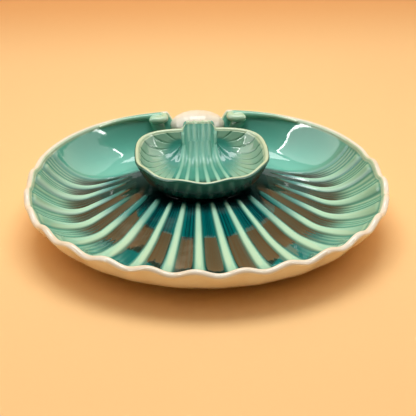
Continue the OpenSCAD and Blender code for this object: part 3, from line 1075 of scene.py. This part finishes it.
def mint_scroll_glaze(paint):
    """Mint along the bead, paler on the curl, dark in its groove, warm where the bead starts."""
    place = paint.place()
    cloud = paint.noise(place, 60, 3)
    colour = paint.blend(paint.kept("curl"), SCROLL_BEAD, SCROLL_CURL)
    colour = paint.blend(paint.ease(cloud, *SCROLL_CLOUDS) * 0.4, colour, SEA)
    # Darker on the inner underside of the hook.
    colour = paint.blend(paint.kept("groove") * 0.8, colour, SCROLL_GROOVE)
    colour = paint.blend(paint.kept("early"), colour, MINT_WARM)
    gloss(paint, colour, 0.07 + cloud * 0.05, paint.noise(place, 160, 2), SCROLL_RIPPLE)


finish(platter_beak, cream_beak_glaze)
finish(left_volute, mint_scroll_glaze)
finish(right_volute, mint_scroll_glaze)

# %% Foot finishes
CLAY = rgb(222, 200, 168)
CLAY_PALE = rgb(238, 222, 196)
CLAY_GRAIN = (0.3, 0.7)
CLAY_ROUGH = 0.0002
FOOT_DARK = rgb(8, 40, 38)
FOOT_TEAL = rgb(20, 62, 54)
FOOT_RIPPLE = 0.00005


def bare_clay(paint):
    """Fine grain in two tones of clay, matt."""
    place = paint.place()
    grain = paint.noise(place, 700, 3, 0.7)
    colour = paint.blend(paint.ease(grain, *CLAY_GRAIN), CLAY, CLAY_PALE)
    gloss(paint, colour, 0.7 + grain * 0.2, grain, CLAY_ROUGH)


def dark_foot_glaze(paint):
    """Clouds in two dark teals."""
    place = paint.place()
    cloud = paint.noise(place, 60, 3)
    colour = paint.blend(cloud, FOOT_DARK, FOOT_TEAL)
    gloss(paint, colour, 0.06 + cloud * 0.05, paint.noise(place, 160, 2), FOOT_RIPPLE)


finish(platter_foot, bare_clay)
finish(bowl_foot, dark_foot_glaze)

# %% [markdown]
# ## The table and the room
# A pale peach sheet lies under the dish. Towards its far end it is painted a deeper orange, as painted shade
# where the lamp's light falls off. The room behind has its warm tone too, so the glossy basin mirrors it. A
# wide soft lamp hangs above, and the room is white overhead and dim on the camera's side. Two pale screens
# stand left and right, and only the
# glaze sees them: the ears mirror them as ovals.

# %% Table
TABLE_HALF = 6.0
TABLE_ROUGH = 0.9
PEACH = rgb(252, 208, 146)
PEACH_PALE = rgb(252, 210, 148)
# Painted shade: the sheet turns this deeper orange towards its far end.
FAR_SHADE_ORANGE = rgb(242, 178, 110)
FAR_SHADE_Y = (0.45, 0.85)


def table_paint(paint):
    """Peach that deepens to orange towards the far end of the sheet: painted shade where the lamp's light
    falls off.
    """
    place = paint.place()
    grain = paint.noise(place, 3, 2)
    near = paint.blend(grain, PEACH, PEACH_PALE)
    colour = paint.blend(paint.ease(paint.part(place, 1), *FAR_SHADE_Y), near, FAR_SHADE_ORANGE)
    shader = paint.node("BsdfPrincipled", {}, {"Base Color": colour, "Roughness": TABLE_ROUGH})
    paint.node("OutputMaterial", {}, {"Surface": shader})


table_corners = [(-TABLE_HALF, -TABLE_HALF, 0), (TABLE_HALF, -TABLE_HALF, 0), (TABLE_HALF, TABLE_HALF, 0)]
table_mesh = bpy.data.meshes.new("table")
table_mesh.from_pydata(table_corners + [(-TABLE_HALF, TABLE_HALF, 0)], [], [(0, 1, 2, 3)])
table = bpy.data.objects.new("table", table_mesh)
bpy.context.collection.objects.link(table)
finish(table, table_paint)

# %% Side screens
DEGREE = np.pi / 180
SCREEN_PALE = 1.6
SCREEN_EDGE = 22.0
SCREEN_CORNER = 4
SCREEN_LEAN = 0.25
FACE_BORDER = (0.93, 1.0)
EDGE_INNER = (0.915, 0.94)
EDGE_OUTER = (0.975, 1.0)
FRONT_FROM = 106
FRONT_TO = 124


def screen(paint, ray, side, bearing_mid, bearing_half, height_mid, height_half):
    """Brightness of a pale screen with round corners and a bright front edge, from directions in degrees.

    The screen leans back as it rises. The fourth root of a sum of two fourth powers is 1 on its border.
    """
    lift = paint.node("Math", {"operation": "ARCSINE"}, {0: paint.part(ray, 2)})
    sideways = paint.part(ray, 0) * side
    flat = paint.node("Math", {"operation": "ARCTAN2"}, {0: sideways, 1: paint.part(ray, 1)})
    leant = flat + lift * SCREEN_LEAN
    across = paint.size((leant - bearing_mid * DEGREE) * (1 / (bearing_half * DEGREE)))
    upward = paint.size((lift - height_mid * DEGREE) * (1 / (height_half * DEGREE)))
    border = (across**SCREEN_CORNER + upward**SCREEN_CORNER) ** (1 / SCREEN_CORNER)
    face = 1 - paint.ease(border, *FACE_BORDER)
    edge = paint.ease(border, *EDGE_INNER) * (1 - paint.ease(border, *EDGE_OUTER))
    front = paint.ease(leant, FRONT_FROM * DEGREE, FRONT_TO * DEGREE)
    return face * SCREEN_PALE + edge * front * SCREEN_EDGE


print("A screen's front edge is", SCREEN_EDGE / SCREEN_PALE, "times as bright as its face")

# %% Room light
OVERHEAD = (1.05, 1.03, 0.98, 1)
OVERHEAD_UP = (0.7, 0.92)
DIM = rgb(50, 30, 14)
BACKDROP = rgb(246, 188, 122)
BACKDROP_Y = (-0.1, 0.5)
RIGHT_SCREEN = {"side": 1, "bearing_mid": 91, "bearing_half": 36, "height_mid": 28, "height_half": 31}
LEFT_SCREEN = {"side": -1, "bearing_mid": 103, "bearing_half": 29, "height_mid": 31, "height_half": 31}
LEFT_BRIGHTER = 1.6
SCREEN_SHARE = 0.05
SCREEN_WHITE = (20, 20, 19.4, 1)


def room_paint(paint):
    """Peach behind, dim in front, white overhead. The camera itself sees plain peach."""
    ray = paint.node("TexCoord", {}, {}, "Generated")
    behind = paint.ease(paint.part(ray, 1), *BACKDROP_Y)
    low = paint.blend(behind, DIM, BACKDROP)
    room = paint.blend(paint.ease(paint.part(ray, 2), *OVERHEAD_UP), low, OVERHEAD)
    mirrored = paint.node("LightPath", {}, {}, "Is Glossy Ray")
    pale = screen(paint, ray, **RIGHT_SCREEN) + screen(paint, ray, **LEFT_SCREEN) * LEFT_BRIGHTER
    room = paint.blend(paint.least(pale * SCREEN_SHARE, 1) * mirrored, room, SCREEN_WHITE)
    seen = paint.node("LightPath", {}, {}, "Is Camera Ray")
    shown = paint.blend(seen, room, PEACH)
    light = paint.node("Background", {}, {"Color": shown, "Strength": 1.0})
    paint.node("OutputWorld", {}, {"Surface": light})


world = bpy.data.worlds.new("room")
bpy.context.scene.world = world
room_paint(Paint(world))
print("The room is painted with", len(world.node_tree.nodes), "nodes")

# %% Lamp overhead
LAMP_AT = Vector((0, 0.12, 1.1))
LAMP_WIDE = 0.8
LAMP_DEEP = 0.5
LAMP_RADIANCE = 5.8

lamp_data = bpy.data.lights.new("lamp", "AREA")
lamp_data.shape = "RECTANGLE"
lamp_data.size = LAMP_WIDE
lamp_data.size_y = LAMP_DEEP
lamp_data.energy = LAMP_RADIANCE * np.pi * LAMP_WIDE * LAMP_DEEP
lamp = bpy.data.objects.new("lamp", lamp_data)
lamp.location = LAMP_AT
bpy.context.collection.objects.link(lamp)
print("The lamp gives", lamp_data.energy, "watts")

# %% [markdown]
# ## The camera
# The photograph looks down on the dish from the front with a longish lens. The angle, distance and lens
# were found by laying the outline of the shells over the picture.

# %% Camera
CAMERA_AZIMUTH = -4.0
CAMERA_ELEVATION = 28.5
CAMERA_AWAY = 0.919
CAMERA_TARGET = Vector((0, -6 * MM, 22.5 * MM))
PICTURE_PX = 416
FOCAL_PX = 917.7
TARGET_PX = (206.85, 205.0)
SENSOR_MM = 36

camera_data = bpy.data.cameras.new("camera")
camera = bpy.data.objects.new("camera", camera_data)
bpy.context.collection.objects.link(camera)
level_away = cosine(CAMERA_ELEVATION)
camera_ray = Vector((
    sine(CAMERA_AZIMUTH) * level_away, -cosine(CAMERA_AZIMUTH) * level_away, sine(CAMERA_ELEVATION)
))
camera.location = CAMERA_TARGET + camera_ray * CAMERA_AWAY
camera.rotation_euler = (-camera_ray).to_track_quat("-Z", "Y").to_euler()
camera_data.sensor_width = SENSOR_MM
camera_data.lens = SENSOR_MM * FOCAL_PX / PICTURE_PX
camera_data.shift_x = 0.5 - TARGET_PX[0] / PICTURE_PX
camera_data.shift_y = TARGET_PX[1] / PICTURE_PX - 0.5
bpy.context.scene.camera = camera
print("The camera stands at", list(camera.location))
bpy.context.scene.view_settings.view_transform = "Standard"
